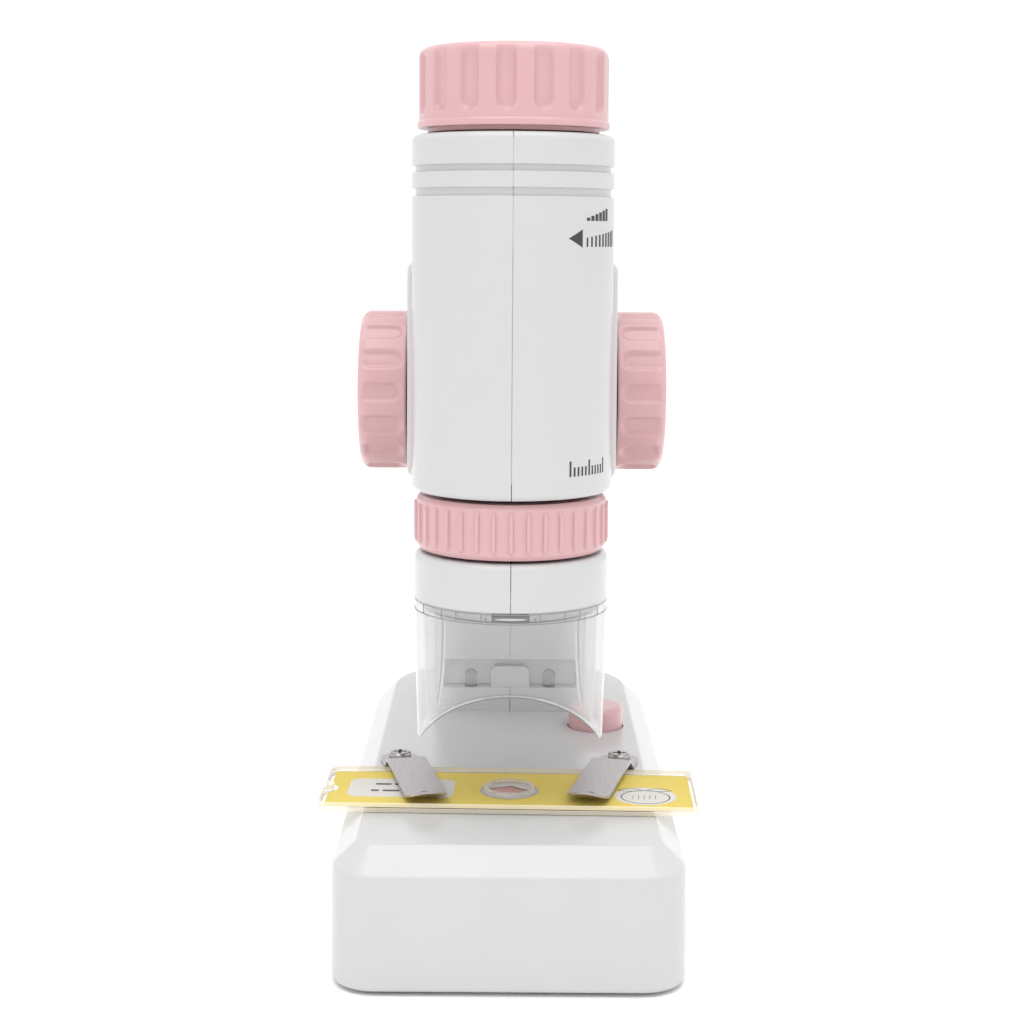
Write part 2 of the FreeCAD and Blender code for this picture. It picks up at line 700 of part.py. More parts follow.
def inner_tube():
    tube = ring(tube_r[1], tube_r[0], (70.0, 157.5))
    wide = (-slot_half, slot_half)
    spare = focus_lift + 1.4
    slots = [box((5, 20), wide, (zoom_pin_z + zoom_lift - 1.4, 158)),
             box((5, 20), wide, (focus_pin_z - spare, focus_pin_z + spare))]
    return tube.cut(slots)


def focus_cam_sleeve():
    """Sleeve inside the focus ring; its slot moves the objective carrier."""
    body = ring(sleeve_r[1], sleeve_r[0], (ring_z[0] + 0.2, 97.0))
    return body.cut(cam_slot(focus_pin_z - focus_lift, focus_turn, -focus_turn, 2 * focus_lift))


def focus_ring():
    z0, z1 = ring_z
    bore = sleeve_r[1] + press_gap
    body = turned([(bore, z0), (ring_r - 0.7, z0), (ring_r, z0 + 0.9), (ring_r, z1 - 0.9), (ring_r - 0.7, z1),
                   (bore, z1)])
    ribs = []
    for i in range(ring_ribs):
        rib = box((-0.33, 0.33), (-ring_r - 0.4, -ring_r + 0.6), (z0 + 1.4, z1 - 1.5))
        ribs.append(spun(rib, 360.0 * i / ring_ribs))
    return together([body] + ribs)


def objective_carrier():
    return carrier(focus_pin_z - 9.0, 14.0, focus_pin_z, 4.0).cut(
        [rod(5.6, (focus_pin_z - 10, focus_pin_z - 6.5)), rod(5.6, (focus_pin_z + 2.5, focus_pin_z + 6))])


def objective_lenses():
    radius = 5.6 - press_gap
    return Part.makeCompound([lens(radius, 0.7, 0.7, focus_pin_z - 7.25),
                              lens(radius, 0.7, 0.7, focus_pin_z + 3.35)])


def collar_body():
    z0, z1 = collar_z
    body = turned([(collar_r, z0), (collar_r, z1), (tube_r[1] + 0.02, z1), (tube_r[1] + 0.02, z1 - 1.8),
                   (collar_r - 2.0, z1 - 1.8), (collar_r - 2.0, z0)])
    return rounded(body, 1.5, lambda e: flat_at(e, z1) and e.BoundBox.XLength > 2 * collar_r - 0.1)


def collar_left_half():
    return half(collar_body(), -1)


def collar_right_half():
    return half(collar_body(), 1)


def clear_nose():
    """Clear skirt under the collar, arched in front and open behind, that lets light reach the slide."""
    top = collar_z[0]
    outer_low, outer_high = nose_r
    spigot = collar_r - 2.05
    wall_in = nose_wall
    body = turned([(outer_low, nose_tip_z), (outer_high, top - 0.05), (spigot, top - 0.05),
                   (spigot, top + 3.0), (spigot - 1.4, top + 3.0), (spigot - 1.4, top - 2.4),
                   (outer_high - wall_in, top - 2.4), (outer_low - wall_in, nose_tip_z)])
    rise = arch_crown_z - nose_tip_z
    arch_r = (arch_half ** 2 + rise ** 2) / (2 * rise)
    arch = Part.makeCylinder(arch_r, 60, vec(0, -30, arch_crown_z - arch_r), Y)
    body = body.cut(arch)
    windows = [box((-3.7, 3.7), (-22, -16.2), (top - 1.9, top - 0.7)),
               box((-3.7, 3.7), (16.2, 22), (top - 1.9, top - 0.7))]
    back = box((-back_half, back_half), (4, 25), (nose_tip_z - 1, back_top_z))
    return body.cut(windows + [back])


# ---- stage --------------------------------------------------------------------------------
def stage_clip(turn, side):
    """Sprung strip from its screw pad, up over the slide's edge, down to the slide and up at its tip."""
    low = base_top + 0.12
    over = slide_top + 0.55
    touch = slide_top + 0.12
    half_w = clip_width / 2
    path = [(4.0, low), (-5.0, low), (-8.6, over), (-clip_reach + 8.5, touch), (-clip_reach + 4.6, touch)]
    path += [(-clip_reach + 3.0, touch + 0.25), (-clip_reach + 1.5, touch + 0.8), (-clip_reach, touch + 1.7)]
    upper = [vec(0, y, z + clip_t) for y, z in reversed(path)]
    lower = [vec(0, y, z) for y, z in path]
    strip = Part.Face(Part.makePolygon(lower + upper + lower[:1])).extrude(vec(clip_width, 0, 0))
    strip.translate(vec(-half_w, 0, 0))
    outline = together([box((-half_w, half_w), (half_w - clip_reach, 0), (20, 40)), rod(half_w, (20, 40)),
                        rod(half_w, (20, 40), 0, half_w - clip_reach)])
    strip = strip.common(outline).cut([rod(1.1, (20, 40)), rod(0.9, (20, 40), 0, -clip_reach + 5.2)])
    return moved(spun(strip, turn), side * clip_x, clip_y)


def left_clip():
    return stage_clip(clip_turns[0], -1)


def right_clip():
    return stage_clip(clip_turns[1], 1)


def clip_screws():
    out = []
    for side in (-1, 1):
        one = screw(2.4, 1.3, 1.0, 7.0)
        one.rotate(O, X, 180)
        out.append(moved(one, side * clip_x, clip_y, base_top + 0.12 + clip_t + 0.1 + 1.3))
    return Part.makeCompound(out)


def slide_plate(z, t):
    """Clear strip with a half-round notch in its left end."""
    w, d = slide_size
    plate = box((-w / 2, w / 2), (-d / 2, d / 2), (z, z + t))
    plate = rounded(plate, 1.2, lambda e: e.BoundBox.ZLength > t - 0.01)
    return plate.cut(rod(1.9, (z - 1, z + t + 1), -w / 2, 0))


def slide_base_plate():
    return spun(slide_plate(slide_rest, slide_layer), slide_yaw)


def slide_cover_plate():
    return spun(slide_plate(slide_rest + slide_layer + label_t, slide_layer), slide_yaw)


def slide_label():
    w, d = slide_size
    z = (slide_rest + slide_layer, slide_rest + slide_layer + label_t)
    paper = box((-w / 2 + 3.2, w / 2 - 1.0), (-d / 2 + 1.0, d / 2 - 1.0), z)
    return spun(paper.cut(rod(5.6, (20, 30))), slide_yaw)


def slide_specimen():
    z = (slide_rest + slide_layer, slide_rest + slide_layer + label_t)
    return spun(rod(5.55, z), slide_yaw)


# ---- export -------------------------------------------------------------------------------
pieces = [
    base_top_shell, base_bottom_cover, battery_door, battery_door_screw, rubber_feet, housing_screws,
    batteries, battery_contacts, lead_strips, stage_board, stage_led, light_cup, stage_window,
    button_board, button_switch, light_button,
    arm_right_half, arm_left_half, arm_joint_screws, arm_screws, lamp_board, arm_lamps, lamp_tab,
    shaft_bushes, pinion_shaft, focus_pinion, focus_rack, rack_screws, coarse_knob_right, coarse_knob_left,
    barrel_left_half, barrel_right_half, zoom_knob, zoom_cam_sleeve, eyecup, eye_lens,
    eyepiece_carrier, field_lens, inner_tube, focus_ring, focus_cam_sleeve, objective_carrier, objective_lenses,
    collar_left_half, collar_right_half, clear_nose,
    left_clip, right_clip, clip_screws,
    slide_base_plate, slide_label, slide_specimen, slide_cover_plate,
]

os.makedirs("parts", exist_ok=True)
for make in pieces:
    shape = moved(make(), 0, -centre_y, -table_z)
    solids = len(shape.Solids)
    print(f"{make.__name__:20s} solids {solids} valid {shape.isValid()} volume {shape.Volume:.0f}")
    shape.exportStep(f"parts/{make.__name__}.step")
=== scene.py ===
import json
import math

import bmesh
import bpy
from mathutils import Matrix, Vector


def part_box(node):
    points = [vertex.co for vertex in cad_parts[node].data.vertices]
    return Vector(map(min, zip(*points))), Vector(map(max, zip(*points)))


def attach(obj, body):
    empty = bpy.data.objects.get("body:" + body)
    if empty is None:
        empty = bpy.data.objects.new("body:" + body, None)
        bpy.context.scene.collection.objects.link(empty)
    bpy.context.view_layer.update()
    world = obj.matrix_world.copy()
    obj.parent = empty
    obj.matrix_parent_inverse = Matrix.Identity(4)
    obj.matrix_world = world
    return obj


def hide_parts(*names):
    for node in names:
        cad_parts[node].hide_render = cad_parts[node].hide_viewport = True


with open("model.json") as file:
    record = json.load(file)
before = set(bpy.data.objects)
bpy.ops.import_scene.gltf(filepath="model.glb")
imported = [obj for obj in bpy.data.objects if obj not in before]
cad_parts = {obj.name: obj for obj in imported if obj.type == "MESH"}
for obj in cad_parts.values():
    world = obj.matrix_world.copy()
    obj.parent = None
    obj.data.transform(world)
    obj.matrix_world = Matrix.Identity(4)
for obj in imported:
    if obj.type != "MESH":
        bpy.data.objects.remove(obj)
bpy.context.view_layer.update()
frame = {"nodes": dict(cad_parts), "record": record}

MM = 0.001
NODES = frame["nodes"]


# ---- places taken from the frame ------------------------------------------------------------
def low(node):
    return Vector(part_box(node)[0])


def high(node):
    return Vector(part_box(node)[1])


def middle(node):
    return (low(node) + high(node)) / 2


AXIS = middle("zoom_knob")                       # the viewer's upright axis
AXIS.z = 0.0
BARREL_R = (high("barrel_right_half").x - low("barrel_left_half").x) / 2
BARREL_Z = (low("barrel_left_half").z, high("barrel_left_half").z)


# ---- materials ------------------------------------------------------------------------------
def new_material(name, color, rough, **sockets):
    """Principled material; returns (material, node tree, shader node)."""
    mat = bpy.data.materials.new(name)
    mat.use_nodes = True
    tree = mat.node_tree
    shader = tree.nodes["Principled BSDF"]
    shader.inputs["Base Color"].default_value = (*color, 1.0)
    shader.inputs["Roughness"].default_value = rough
    for key, value in sockets.items():
        shader.inputs[key.replace("_", " ")].default_value = value
    return mat, tree, shader


def texture(tree, kind, scale, stretch=(1, 1, 1), **values):
    """Procedural texture read in object space, where one unit is a metre."""
    place = tree.nodes.new("ShaderNodeTexCoord")
    mapping = tree.nodes.new("ShaderNodeMapping")
    mapping.inputs["Scale"].default_value = stretch
    tree.links.new(place.outputs["Object"], mapping.inputs["Vector"])
    node = tree.nodes.new(kind)
    tree.links.new(mapping.outputs["Vector"], node.inputs["Vector"])
    node.inputs["Scale"].default_value = scale
    for key, value in values.items():
        node.inputs[key].default_value = value
    return node


def mapped(tree, value, lo, hi, from_lo=0.0, from_hi=1.0):
    node = tree.nodes.new("ShaderNodeMapRange")
    node.inputs["From Min"].default_value = from_lo
    node.inputs["From Max"].default_value = from_hi
    node.inputs["To Min"].default_value = lo
    node.inputs["To Max"].default_value = hi
    tree.links.new(value, node.inputs["Value"])
    return node.outputs["Result"]


def tint(tree, shader, value, dark, light):
    """Base colour that runs between two colours with a texture value."""
    mix = tree.nodes.new("ShaderNodeMix")
    mix.data_type = "RGBA"
    mix.inputs["A"].default_value = (*dark, 1)
    mix.inputs["B"].default_value = (*light, 1)
    tree.links.new(value, mix.inputs["Factor"])
    tree.links.new(mix.outputs["Result"], shader.inputs["Base Color"])


def bump(tree, shader, value, strength, distance):
    node = tree.nodes.new("ShaderNodeBump")
    node.inputs["Strength"].default_value = strength
    node.inputs["Distance"].default_value = distance
    tree.links.new(value, node.inputs["Height"])
    tree.links.new(node.outputs["Normal"], shader.inputs["Normal"])


def scaled(color, k):
    return tuple(min(1.0, c * k) for c in color)


def moulded(name, color, rough, grain=5200.0, coat=0.0, depth=0.00002, subsurface=0.0):
    """Injection-moulded plastic: faint flow mottling, a fine skin grain and uneven gloss."""
    mat, tree, shader = new_material(name, color, rough, IOR=1.5, Coat_Weight=coat, Coat_Roughness=0.12,
                                     Subsurface_Weight=subsurface, Subsurface_Scale=0.002)
    shader.inputs["Subsurface Radius"].default_value = (1.0, 0.7, 0.6)
    flow = texture(tree, "ShaderNodeTexNoise", 55.0, Detail=3.0)
    skin = texture(tree, "ShaderNodeTexNoise", grain, Detail=2.0)
    tint(tree, shader, flow.outputs["Fac"], scaled(color, 0.965), scaled(color, 1.02))
    tree.links.new(mapped(tree, flow.outputs["Fac"], rough * 0.86, rough * 1.16), shader.inputs["Roughness"])
    bump(tree, shader, skin.outputs["Fac"], 0.12, depth)
    return mat


def clear(name, color, rough=0.02, ior=1.49, ripple=0.04):
    """Clear moulded plastic or glass with faint ripples."""
    mat, tree, shader = new_material(name, color, rough, IOR=ior, Transmission_Weight=1.0)
    waves = texture(tree, "ShaderNodeTexNoise", 160.0, Detail=1.0)
    bump(tree, shader, waves.outputs["Fac"], ripple, 0.0004)
    return mat


def see_through(name, color, face, edge, rough=0.06):
    """Clear moulding that lets lamps through: more of its diffuse colour shows where it is seen edge on,
    painted reflection and shade standing in for how clear plastic looks at a glancing angle.
    """
    mat, tree, shader = new_material(name, color, rough, IOR=1.5, Coat_Weight=0.4, Coat_Roughness=0.03)
    waves = texture(tree, "ShaderNodeTexNoise", 150.0, Detail=1.0)
    bump(tree, shader, waves.outputs["Fac"], 0.08, 0.0004)
    slant = tree.nodes.new("ShaderNodeLayerWeight")
    slant.inputs["Blend"].default_value = 0.42
    open_part = tree.nodes.new("ShaderNodeBsdfTransparent")
    open_part.inputs["Color"].default_value = (0.985, 0.985, 0.985, 1.0)
    mix = tree.nodes.new("ShaderNodeMixShader")
    tree.links.new(mapped(tree, slant.outputs["Facing"], face, edge, 0.12, 0.95), mix.inputs["Fac"])
    tree.links.new(open_part.outputs["BSDF"], mix.inputs[1])
    tree.links.new(shader.outputs["BSDF"], mix.inputs[2])
    tree.links.new(mix.outputs["Shader"], tree.nodes["Material Output"].inputs["Surface"])
    return mat


def brushed(name, color, rough, stretch=(1, 1, 1), depth=0.00003):
    """Rolled sheet metal with fine scratches along one way and a few stray ones across."""
    mat, tree, shader = new_material(name, color, rough, Metallic=1.0)
    lines = texture(tree, "ShaderNodeTexNoise", 900.0, stretch, Detail=4.0)
    stray = texture(tree, "ShaderNodeTexNoise", 420.0, (4.0, 0.35, 1.0), Detail=3.0)
    tint(tree, shader, lines.outputs["Fac"], scaled(color, 0.80), scaled(color, 1.15))
    tree.links.new(mapped(tree, stray.outputs["Fac"], rough * 0.7, rough * 1.4), shader.inputs["Roughness"])
    bump(tree, shader, lines.outputs["Fac"], 0.35, depth)
    return mat


def printed_card(name, color, edge_color):
    """Matt printed card with paper fibre and slightly uneven ink."""
    mat, tree, shader = new_material(name, color, 0.6, Specular_IOR_Level=0.3)
    ink = texture(tree, "ShaderNodeTexNoise", 140.0, Detail=4.0)
    fibre = texture(tree, "ShaderNodeTexNoise", 2600.0, Detail=2.0)
    tint(tree, shader, ink.outputs["Fac"], edge_color, color)
    bump(tree, shader, fibre.outputs["Fac"], 0.15, 0.00003)
    return mat


WHITE = moulded("white_abs", (0.536, 0.538, 0.538), 0.22, coat=0.08)
PINK = moulded("pink_abs", (0.602, 0.356, 0.372), 0.24, coat=0.14, subsurface=0.03)
CLEAR_PC = see_through("clear_polycarbonate", (0.60, 0.61, 0.61), 0.10, 0.86)
CLEAR_SHEET = see_through("clear_acrylic", (0.60, 0.56, 0.50), 0.01, 0.05, 0.04)
# Paler, more opaque copy of the sheet for its cut edges: painted light carried in the edges.
SHEET_EDGE_PAINTED_LIGHT = see_through("clear_acrylic_edge_painted_light", (0.90, 0.82, 0.66), 0.62, 0.90, 0.10)
DOME = see_through("clear_dome", (0.72, 0.64, 0.60), 0.30, 0.70, 0.05)
# Pale, mostly opaque clear edge: painted highlight for the nose's arch face and its pale wall lines.
LIP_PAINTED_HIGHLIGHT = see_through("clear_edge_painted_highlight", (0.84, 0.85, 0.85), 0.75, 0.92)
LENS = clear("optic_glass", (0.95, 0.98, 0.98), 0.0, 1.52, 0.0)
LAMP = clear("lamp_resin", (0.97, 0.97, 0.95), 0.05, 1.5, 0.1)
STEEL = brushed("spring_steel", (0.53, 0.495, 0.50), 0.36, (14, 0.6, 1))
TURNED = brushed("turned_steel", (0.50, 0.50, 0.51), 0.30, (0.5, 14, 14))
CHROME = brushed("plated_steel", (0.40, 0.375, 0.37), 0.16, (2, 2, 2), 0.00001)
NICKEL = brushed("nickel_strip", (0.66, 0.65, 0.62), 0.22, (1, 8, 1))
BRASS = brushed("stamped_brass", (0.72, 0.52, 0.22), 0.28, (1, 10, 1))
BLACK = moulded("black_abs", (0.025, 0.025, 0.028), 0.5)
GREY = moulded("pale_grey_abs", (0.74, 0.73, 0.75), 0.5)
NYLON = moulded("natural_nylon", (0.74, 0.73, 0.68), 0.45, subsurface=0.1)
MILKY = moulded("milky_diffuser", (0.86, 0.86, 0.84), 0.5, subsurface=0.3)
RUBBER = moulded("foot_rubber", (0.05, 0.05, 0.052), 0.8, grain=2400.0, depth=0.00006)
BOARD = moulded("board_mask", (0.02, 0.16, 0.07), 0.4, grain=1500.0)
CELL = moulded("battery_sleeve", (0.05, 0.06, 0.09), 0.3, coat=0.3)
INK = moulded("dark_ink", (0.035, 0.035, 0.04), 0.55)
YELLOW = printed_card("label_yellow", (0.80, 0.625, 0.105), (0.74, 0.57, 0.085))
PALE = printed_card("label_pale", (0.72, 0.70, 0.66), (0.66, 0.65, 0.62))
STAIN = printed_card("stained_tissue", (0.60, 0.34, 0.30), (0.48, 0.24, 0.21))
DEEP_STAIN = printed_card("stained_rim", (0.22, 0.06, 0.05), (0.14, 0.04, 0.035))
# Dark grey for the nose rim's lines and ticks, and painted shade for the snap slot's hollow.
MARK = moulded("dark_lines_and_painted_slot_shade", (0.22, 0.23, 0.23), 0.4)
# Dark grey for thin beads and lines drawn on the clear nose: painted shade.
PAINTED_EDGE_SHADE = moulded("edge_shade", (0.20, 0.21, 0.21), 0.3)

FINISH = {
    "white_plastic": WHITE, "pink_plastic": PINK, "clear_plastic": CLEAR_PC, "clear_acrylic": CLEAR_SHEET,
    "optic_glass": LENS, "spring_steel": STEEL, "screw_steel": CHROME, "grey_steel": TURNED,
    "contact_nickel": NICKEL, "brass_strip": BRASS, "board_green": BOARD, "black_plastic": BLACK,
    "grey_plastic": GREY, "lamp_resin": LAMP, "milky_plastic": MILKY, "battery_wrap": CELL,
    "rubber_grey": RUBBER, "label_paper": YELLOW, "specimen_film": PALE, "bush_nylon": NYLON,
}


def paint(obj, mat):
    obj.data.materials.clear()
    obj.data.materials.append(mat)


for part in frame["record"]["subparts"]:
    paint(NODES[part["node"]], FINISH[part["material_slot"]])


# ---- mesh helpers ----------------------------------------------------------------------------
def piece(name, verts, faces, mat, body, stands_for=(), crease=32):
    """Object from a list of points and faces, smooth except where it folds by more than the crease angle."""
    mesh = bpy.data.meshes.new(name)
    mesh.from_pydata([tuple(v) for v in verts], [], faces)
    bm = bmesh.new()
    bm.from_mesh(mesh)
    bmesh.ops.remove_doubles(bm, verts=bm.verts, dist=1e-7)
    bmesh.ops.dissolve_degenerate(bm, edges=bm.edges, dist=1e-8)
    bmesh.ops.recalc_face_normals(bm, faces=bm.faces)
    for f in bm.faces:
        f.smooth = True
    for e in bm.edges:
        e.smooth = len(e.link_faces) == 2 and e.calc_face_angle(0.0) < math.radians(crease)
    bm.to_mesh(mesh)
    bm.free()
    obj = bpy.data.objects.new(name, mesh)
    bpy.context.collection.objects.link(obj)
    paint(obj, mat)
    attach(obj, body)
    if stands_for:
        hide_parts(*stands_for)
    return obj


def soft_step(t):
    t = min(1.0, max(0.0, t))
    return t * t * (3 - 2 * t)


def softened(corners, steps=5):
    """Closed outline from (u, v, fillet radius) corners."""
    out = []
    for i, (u, v, radius) in enumerate(corners):
        here = Vector((u, v))
        if radius <= 0:
            out.append((u, v))
            continue
        back = (Vector(corners[i - 1][:2]) - here).normalized()
        ahead = (Vector(corners[(i + 1) % len(corners)][:2]) - here).normalized()
        half = back.angle(ahead) / 2
        centre = here + (back + ahead).normalized() * radius / math.sin(half)
        first = here + back * radius / math.tan(half) - centre
        last = here + ahead * radius / math.tan(half) - centre
        start = math.atan2(first.y, first.x)
        sweep = (math.atan2(last.y, last.x) - start + math.pi) % (2 * math.pi) - math.pi
        for k in range(steps + 1):
            a = start + sweep * k / steps
            out.append((centre.x + radius * math.cos(a), centre.y + radius * math.sin(a)))
    return out


def dense(outline, step):
    """Closed outline with its long sides divided."""
    out = []
    for i, (u, v) in enumerate(outline):
        u1, v1 = outline[(i + 1) % len(outline)]
        n = max(1, math.ceil(math.hypot(u1 - u, v1 - v) / step))
        out += [(u + (u1 - u) * k / n, v + (v1 - v) * k / n) for k in range(n)]
    return out


def lathe(outline, angles, place, shape=None):
    """Closed outline of (radius, height) turned through the angles; shape(angle, r, h) gives a new radius."""
    n = len(outline)
    verts, faces = [], []
    for a in angles:
        for r, h in outline:
            reach = shape(a, r, h) if shape else r
            verts.append(place(reach * math.cos(a), reach * math.sin(a), h))
    for i in range(len(angles)):
        k = (i + 1) % len(angles)
        for j in range(n):
            m = (j + 1) % n
            faces.append((i * n + j, k * n + j, k * n + m, i * n + m))
    return verts, faces


def even(count):
    return [2 * math.pi * i / count for i in range(count)]


def on_axis(x, y, z):
    """Point given in millimetres about the viewer's axis, with z above the table."""
    return AXIS + Vector((x, y, z)) * MM


def off_centre(a, first, count):
    """Signed angle from a to the nearest of count evenly spaced places."""
    step = 2 * math.pi / count
    return (a - first + step / 2) % step - step / 2


def grid(u, v, nu, nv):
    """Flat patch between two pairs of numbers, as points and faces."""
    pts = [(u[0] + (u[1] - u[0]) * i / nu, v[0] + (v[1] - v[0]) * j / nv)
           for i in range(nu + 1) for j in range(nv + 1)]
    row = nv + 1
    corners = [i * row + j for i in range(nu) for j in range(nv)]
    return pts, [(k, k + row, k + row + 1, k + 1) for k in corners]


def fan(outline, rings=3):
    """Flat patch that fills a round or blunt outline."""
    n = len(outline)
    cu = sum(p[0] for p in outline) / n
    cv = sum(p[1] for p in outline) / n
    pts = [(cu + (u - cu) * k / rings, cv + (v - cv) * k / rings)
           for k in range(rings, 0, -1) for u, v in outline]
    pts.append((cu, cv))
    faces = [(k * n + i, k * n + (i + 1) % n, (k + 1) * n + (i + 1) % n, (k + 1) * n + i)
             for k in range(rings - 1) for i in range(n)]
    faces += [((rings - 1) * n + i, (rings - 1) * n + (i + 1) % n, rings * n) for i in range(n)]
    return pts, faces


def stroke(path, width, closed=False):
    """Flat ribbon along a line of points."""
    n = len(path)
    pts = []
    for i, p in enumerate(path):
        a = Vector(path[i - 1] if closed or i else p)
        b = Vector(path[(i + 1) % n] if closed or i < n - 1 else p)
        along = (b - a).normalized()
        side = Vector((-along.y, along.x)) * width / 2
        pts += [tuple(Vector(p) + side), tuple(Vector(p) - side)]
    count = n if closed else n - 1
    return pts, [(2 * i, 2 * i + 1, (2 * i + 3) % (2 * n), (2 * i + 2) % (2 * n)) for i in range(count)]


def raised(patches, place, base, top):
    """Thin plates of one height from flat patches, placed by place(u, v, height)."""
    verts, faces = [], []
    for pts, cells in patches:
        start = len(verts)
        n = len(pts)
        verts += [place(u, v, base) for u, v in pts] + [place(u, v, top) for u, v in pts]
        faces += [tuple(start + i for i in reversed(c)) for c in cells]
        faces += [tuple(start + n + i for i in c) for c in cells]
        rim = {}
        for c in cells:
            for i, p in enumerate(c):
                rim[(p, c[(i + 1) % len(c)])] = True
        for p, q in rim:
            if (q, p) not in rim:
                faces.append((start + p, start + q, start + n + q, start + n + p))
    return verts, faces


def oval(cu, cv, ru, rv, n=40):
    turns = [2 * math.pi * i / n for i in range(n)]
    return [(cu + ru * math.cos(a), cv + rv * math.sin(a)) for a in turns]


def bar_faces(stations, sides, start=0):
    """Faces of a bar given as stations of points, closed at both ends."""
    faces = []
    for i in range(stations - 1):
        ring = start + sides * i
        for j in range(sides):
            k = (j + 1) % sides
            faces.append((ring + j, ring + k, ring + sides + k, ring + sides + j))
    last = start + sides * (stations - 1)
    return faces + [tuple(range(start + sides - 1, start - 1, -1)), tuple(range(last, last + sides))]


# ---- zoom knob, focus ring and coarse knobs, in millimetres ------------------------------------
CAP_FLUTES, CAP_PHASE = 16, -94.7                # bearings in degrees
RING_RIBS = 36
KNOB_FLUTES, KNOB_PHASE = 15, 2.7


def zoom_cap():
    foot, crown = low("zoom_knob").z / MM, high("zoom_knob").z / MM
    outline = softened([
        (14.76, foot, 0), (14.76, foot - 0.85, 0), (17.1, foot - 0.85, 0.2), (17.1, foot, 0.1),
        (19.1, foot, 0.3), (19.1, foot + 1.15, 0.25), (18.78, foot + 1.5, 0.25), (18.8, crown, 1.9),
        (9.7, crown, 0.5), (9.0, crown - 5.3, 0.3), (6.5, crown - 5.3, 0), (6.5, crown - 7.5, 0),
        (14.76, crown - 7.5, 0)], 6)
    outline = dense(outline, 0.42)

    def shape(a, r, z):
        if r < 15.5 or z < foot + 2:
            return r
        across = off_centre(a, math.radians(CAP_PHASE), CAP_FLUTES) * 18.8
        ahead = max(0.0, foot + 4.8 - z)
        depth = 0.95 * soft_step((2.1 - math.hypot(across, ahead)) / 0.75)
        return r - depth * soft_step((crown - 0.5 - z) / 2.2)

    verts, faces = lathe(outline, even(CAP_FLUTES * 28), on_axis, shape)
    piece("zoom_cap_fluted", verts, faces, PINK, "zoom_cap", ("zoom_knob",), 50)


def fine_ring():
    z0, z1 = low("focus_ring").z / MM, high("focus_ring").z / MM
    outline = softened([(14.76, z0, 0), (18.35, z0, 0.25), (19.1, z0 + 0.95, 0.3), (19.1, z1 - 0.95, 0.3),
                        (18.35, z1, 0.25), (14.76, z1, 0)], 4)
    outline = dense(outline, 0.30)
    offsets = (-5.0, -3.2, -2.1, -1.7, -1.4, -1.15, -0.9, -0.5, 0.0, 0.5, 0.9, 1.15, 1.4, 1.7, 2.1, 3.2)
    angles = [math.radians(360 / RING_RIBS * i + o) for i in range(RING_RIBS) for o in offsets]

    def shape(a, r, z):
        if r < 18.9:
            return r
        across = off_centre(a, 0.0, RING_RIBS) * 19.1
        ahead = max(0.0, z0 + 1.85 - z, z - (z1 - 1.95))
        return r + 0.48 * soft_step((0.46 - math.hypot(across, ahead)) / 0.18)

    verts, faces = lathe(outline, angles, on_axis, shape)
    piece("focus_ring_ribbed", verts, faces, PINK, "fine_ring", ("focus_ring",), 50)


def coarse_knob(side, node):
    lo, hi = low(node), high(node)
    centre = middle(node)
    inner = (lo.x if side > 0 else -hi.x) / MM
    outer = (hi.x if side > 0 else -lo.x) / MM
    radius = (hi.z - lo.z) / 2 / MM
    outline = softened([
        (0.0, outer - 0.7, 0), (10.6, outer - 0.7, 0.5), (11.7, outer - 0.02, 0.6), (radius, outer, 2.2),
        (radius, inner, 0.5), (14.4, inner, 0.2), (14.4, outer - 2.4, 0.5), (4.2, outer - 2.4, 0.3),
        (4.2, inner, 0.2), (2.03, inner, 0), (2.03, 29.6, 0), (0.0, 29.6, 0)], 6)
    outline = dense(outline, 0.45)

    def shape(a, r, x):
        if r < 14.8:
            return r
        across = off_centre(a, math.radians(180 - KNOB_PHASE), KNOB_FLUTES) * radius
        ahead = max(0.0, inner + 2.9 - x)
        depth = 0.75 * soft_step((2.3 - math.hypot(across, ahead)) / 0.95)
        return r - depth * soft_step((outer - 0.1 - x) / 2.3)

    def place(y, z, x):
        return Vector((side * x * MM, centre.y + y * MM, centre.z + z * MM))

    verts, faces = lathe(outline, even(KNOB_FLUTES * 28), place, shape)
    piece(node + "_fluted", verts, faces, PINK, "coarse_drive", (node,), 50)


# ---- marks on the viewer ------------------------------------------------------------------------
def wrap(radius, bearing):
    """Placer that lays a flat patch round the viewer, centred a bearing in degrees right of the front."""
    def place(u, v, h):
        a = math.radians(bearing - 90) + u / radius
        r = radius + h
        return on_axis(r * math.cos(a), r * math.sin(a), v)
    return place


def viewer_marks():
    """A pointer and a wedge of strokes for the zoom, and a plain scale for the focus."""
    radius = BARREL_R / MM
    level = BARREL_Z[1] / MM - 20.2
    corners = [(-7.4, 0.0), (-5.6, 0.9), (-4.0, 1.75), (-4.0, 0.0), (-4.0, -1.75), (-5.6, -0.9)]
    zoom_marks = [fan([(u, level + v) for u, v in corners], 4)]
    for i in range(9):
        wide = 0.45 + 0.05 * i
        u = -2.9 + 1.3 * i
        zoom_marks.append(grid((u, u + wide), (level - 1.6, level + 0.2 + 0.17 * i), 2, 4))
    for i in range(6):
        u = -2.9 + 1.3 * i
        zoom_marks.append(grid((u, u + 1.0), (level + 3.4, level + 4.0 + 0.35 * i), 3, 3))
    verts, faces = raised(zoom_marks, wrap(radius, 53), -0.08, 0.03)
    piece("zoom_marks", verts, faces, INK, "viewer")
    focus_marks = []
    foot = BARREL_Z[0] / MM + 4.5
    for i in range(11):
        tall = 1.5 if i % 5 == 0 else 0.9
        focus_marks.append(grid((-5.0 + i, -4.54 + i), (foot, foot + 2 * tall), 2, 5))
    verts, faces = raised(focus_marks, wrap(radius, 48), -0.08, 0.03)
    piece("focus_marks", verts, faces, INK, "viewer")


